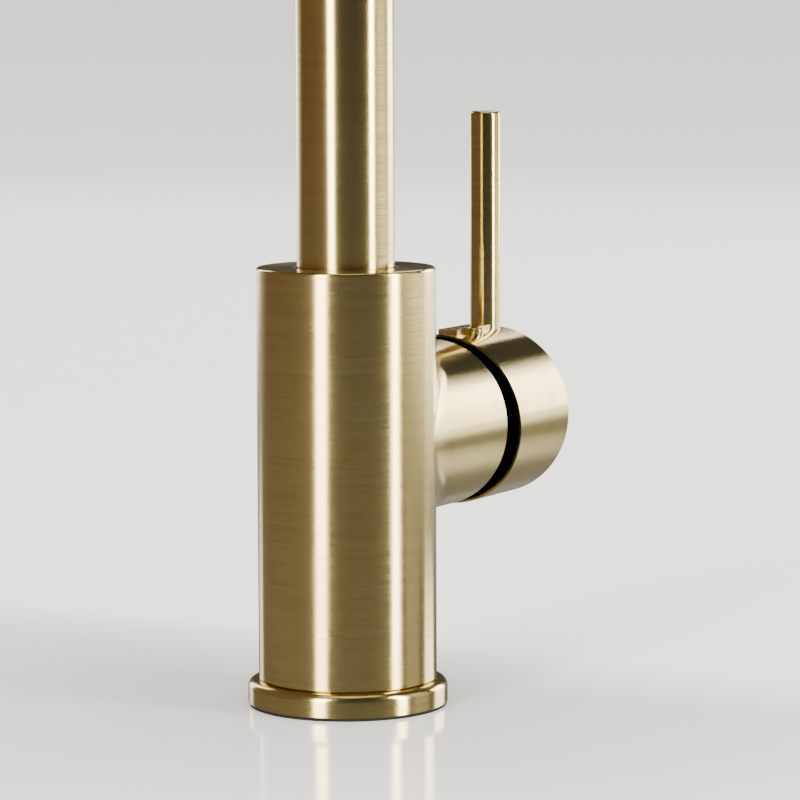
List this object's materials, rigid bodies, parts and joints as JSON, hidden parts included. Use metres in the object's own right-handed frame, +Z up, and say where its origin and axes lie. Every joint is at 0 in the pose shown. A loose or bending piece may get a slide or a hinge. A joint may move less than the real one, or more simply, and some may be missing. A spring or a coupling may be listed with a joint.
{
  "type": "pull-down kitchen faucet",
  "caption": "Single-lever kitchen mixer tap with a cylindrical body, side valve and pin lever, swivelling gooseneck spout and a magnetically docked pull-down spray head.",
  "frame": {"origin": "centre of the tap hole at the top surface of the sink deck", "axes": "+Z up along the body; -Y is the spout side, towards the user; +X is the lever side; +Y is the wall side"},
  "size_m": [0.1127, 0.2455, 0.5531],
  "materials": {
    "brushed_brass": "satin brushed",
    "polished_brass": "polished",
    "raw_brass": "machined",
    "black_rubber": "matte",
    "nylon": "matte",
    "acetal": "matte",
    "ceramic": "lapped",
    "steel": "zinc plated",
    "copper": "drawn tube",
    "hose": "braided nylon",
    "silicone": "matte",
    "magnet": "sintered"
  },
  "bodies": {
    "base": {"base_gasket": "black_rubber", "base_flange": "brushed_brass", "threaded_shank": "raw_brass", "deck_seal_washer": "black_rubber", "deck_steel_washer": "steel", "mounting_nut": "raw_brass", "nut_screws": "steel", "hot_inlet_tail": "copper", "cold_inlet_tail": "copper", "outlet_tail": "copper", "valve_body": "brushed_brass", "spout_bush_upper": "nylon", "spout_bush_lower": "nylon", "spout_o_rings": "black_rubber", "spout_stop_screw": "steel", "cartridge_housing": "acetal", "cartridge_seals": "black_rubber", "fixed_disc": "ceramic", "retaining_nut": "raw_brass", "trim_ring": "nylon"},
    "turner": {"cartridge_turner": "nylon"},
    "disc": {"moving_disc": "ceramic", "disc_carrier": "acetal"},
    "lever": {"cartridge_stem": "steel", "stem_pin": "steel", "handle_cap": "brushed_brass", "lever_rod": "brushed_brass", "handle_grub_screw": "steel", "index_plug": "polished_brass"},
    "spout": {"spout_tube": "brushed_brass", "spout_foot": "raw_brass", "spout_end_guide": "nylon", "dock_magnet": "magnet", "spray_hose_riser": "hose", "hose_lower_end": "nylon"},
    "spray": {"spray_hose_lead": "hose", "spray_shell": "brushed_brass", "dock_steel_ring": "steel", "spray_hose_nut": "raw_brass", "filter_washer": "black_rubber", "spray_core": "acetal", "check_valve": "acetal", "rocker_pin": "steel", "nozzle_plate": "nylon", "nozzle_tips": "silicone", "aerator": "acetal", "face_ring": "polished_brass"},
    "rocker": {"mode_rocker": "nylon"}
  },
  "joints": [
    {"name": "spout_swivel", "type": "hinge", "parent": "base", "child": "spout", "pos_m": [0, 0, 0.098], "axis": [0, 0, 1], "range_deg": [-110, 110]},
    {"name": "temperature_turn", "type": "hinge", "parent": "base", "child": "turner", "pos_m": [0.041, 0, 0.0712], "axis": [1, 0, 0], "range_deg": [-45, 45]},
    {"name": "flow_tilt", "type": "hinge", "parent": "turner", "child": "lever", "pos_m": [0.041, 0, 0.0712], "axis": [0, 1, 0], "range_deg": [0, 25]},
    {"name": "disc_slide", "type": "slide", "parent": "turner", "child": "disc", "axis": [0, 0, 1], "range_m": [0, 0.0044]},
    {"name": "spray_pull", "type": "slide", "parent": "spout", "child": "spray", "axis": [0, 0, -1], "range_m": [0, 0.2], "deforming": ["spray_hose_lead"]},
    {"name": "mode_select", "type": "hinge", "parent": "spray", "child": "rocker", "pos_m": [0, -0.2114, 0.25], "axis": [1, 0, 0], "range_deg": [-6, 6]}
  ],
  "couplings": [
    {"joint": "disc_slide", "follows": "flow_tilt", "m_per_rad": 0.01}
  ]
}
